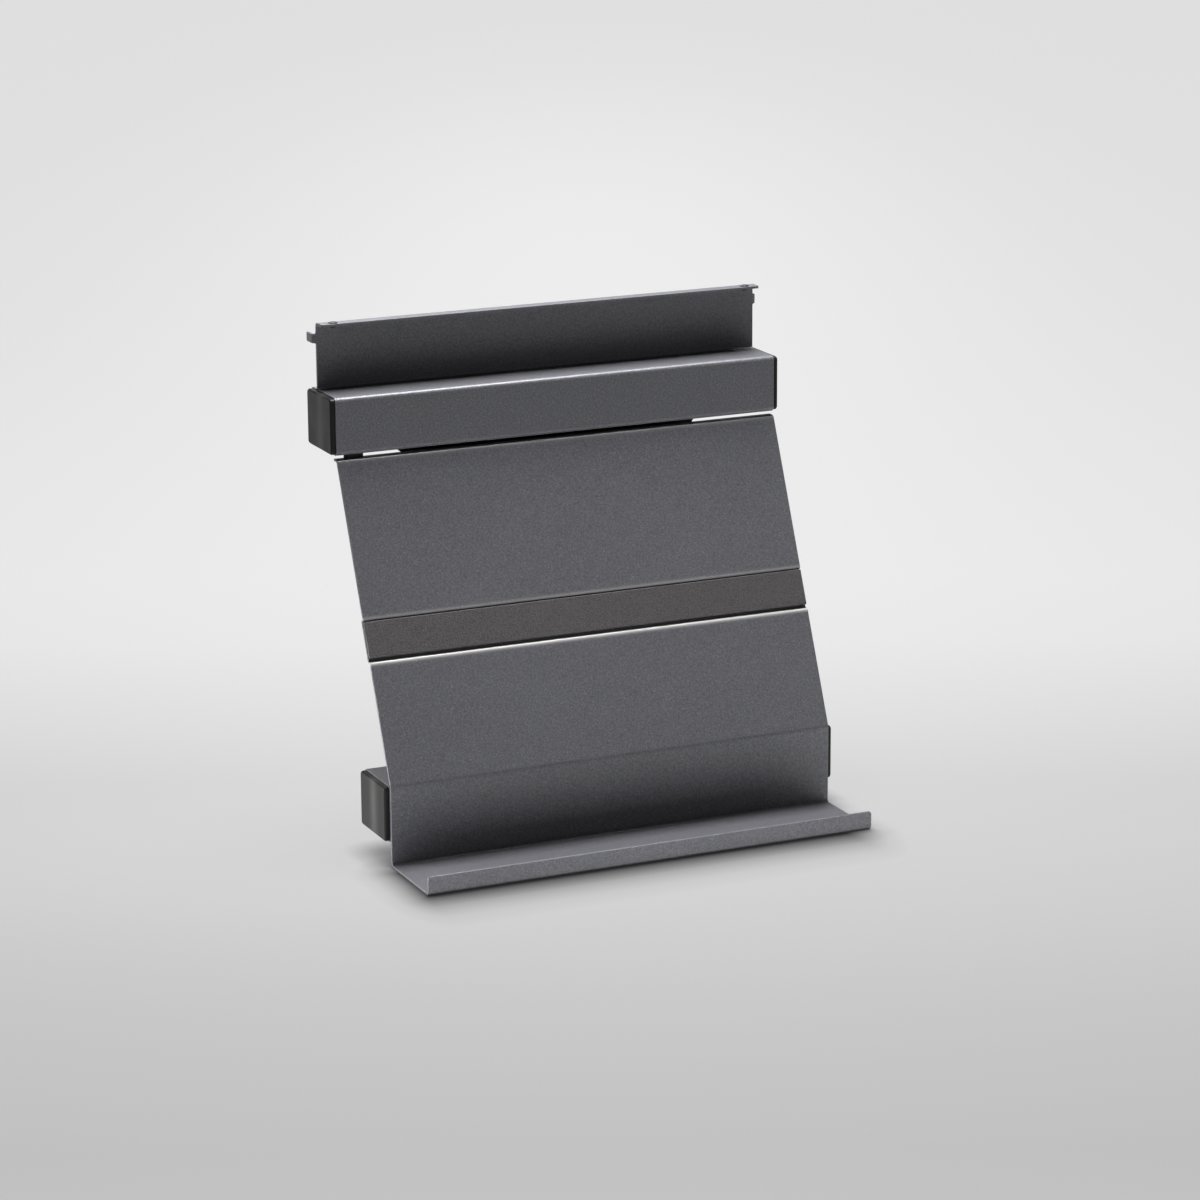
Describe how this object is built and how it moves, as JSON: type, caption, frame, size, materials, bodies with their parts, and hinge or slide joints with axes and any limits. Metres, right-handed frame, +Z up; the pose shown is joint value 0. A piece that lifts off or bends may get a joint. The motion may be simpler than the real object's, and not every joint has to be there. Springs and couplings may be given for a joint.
{
  "type": "tablet holder",
  "caption": "Rail-hung tablet and cookbook holder: folded steel back plate with a lipped tray, leaning panel, grip strip, and capped box sections at the back.",
  "frame": {"origin": "centre of the flat back face of the hanger wall, where the holder sits against its rail", "axes": "+X to the right along the width seen from the front, +Y to the rear towards the rail and wall, +Z up"},
  "size_m": [0.3068, 0.1816, 0.3209],
  "materials": {
    "grey_coated_steel": "fine-textured dark titanium-grey powder coat, satin",
    "dark_coated_steel": "fine-textured near-black powder coat, satin",
    "black_plastic": "satin moulded plastic with a fine grain",
    "black_rubber": "matte rubber",
    "grained_strip": "dark warm grey strip with a fine leather-like grain",
    "adhesive_film": "thin translucent adhesive film",
    "zinc_steel": "bright zinc-plated steel"
  },
  "bodies": {
    "root": {"hanger_profile": "grey_coated_steel", "flange_buttons": "black_plastic", "upper_left_end_cap": "black_plastic", "upper_right_end_cap": "black_plastic", "press_nuts": "zinc_steel", "link_bracket": "dark_coated_steel", "bracket_screws": "zinc_steel", "bracket_screw_washers": "zinc_steel", "bracket_studs": "zinc_steel", "bracket_nuts": "zinc_steel", "bracket_nut_washers": "zinc_steel", "gap_pad": "black_rubber", "back_plate": "grey_coated_steel", "grip_strip": "grained_strip", "strip_tape": "adhesive_film", "lower_box": "grey_coated_steel", "box_studs": "zinc_steel", "box_nuts": "zinc_steel", "box_nut_washers": "zinc_steel", "lower_left_end_cap": "black_plastic", "lower_right_end_cap": "black_plastic"}
  },
  "joints": []
}
